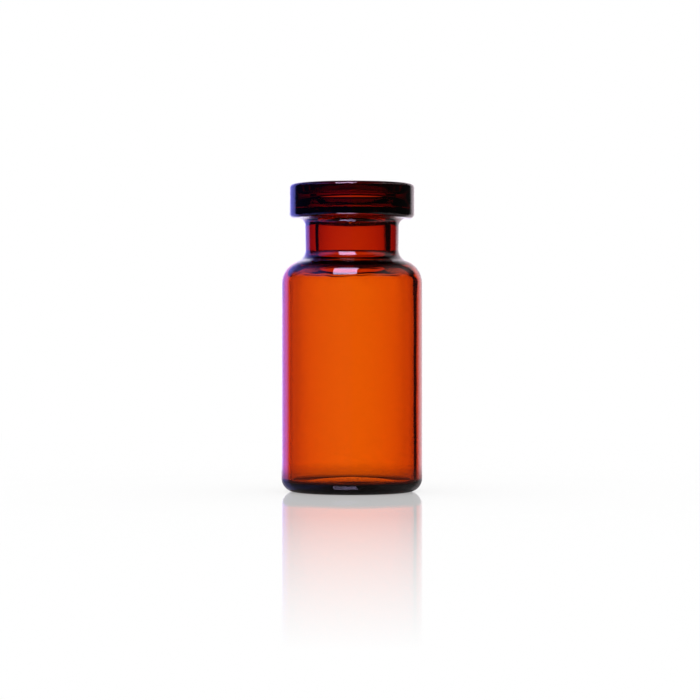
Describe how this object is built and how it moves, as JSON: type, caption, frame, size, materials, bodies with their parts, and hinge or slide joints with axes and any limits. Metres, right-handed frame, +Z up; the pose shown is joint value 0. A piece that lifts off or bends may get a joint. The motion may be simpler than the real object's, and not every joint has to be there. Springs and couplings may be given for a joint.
{
  "type": "crimp-neck glass sample vial",
  "caption": "Small amber glass sample vial with a rounded shoulder, a short neck and a thick flat crimp flange, open and empty.",
  "frame": {"origin": "on the vial's axis, on the surface that it stands on", "axes": "+Z up along the vial's axis, out of the mouth; the vial is the same all round, so X and Y are free"},
  "size_m": [0.0146, 0.0146, 0.032],
  "materials": {
    "amber_glass": "smooth fire-polished amber borosilicate glass, clear, with faint forming marks"
  },
  "bodies": {
    "root": {"glass_vial": "amber_glass"}
  },
  "joints": []
}
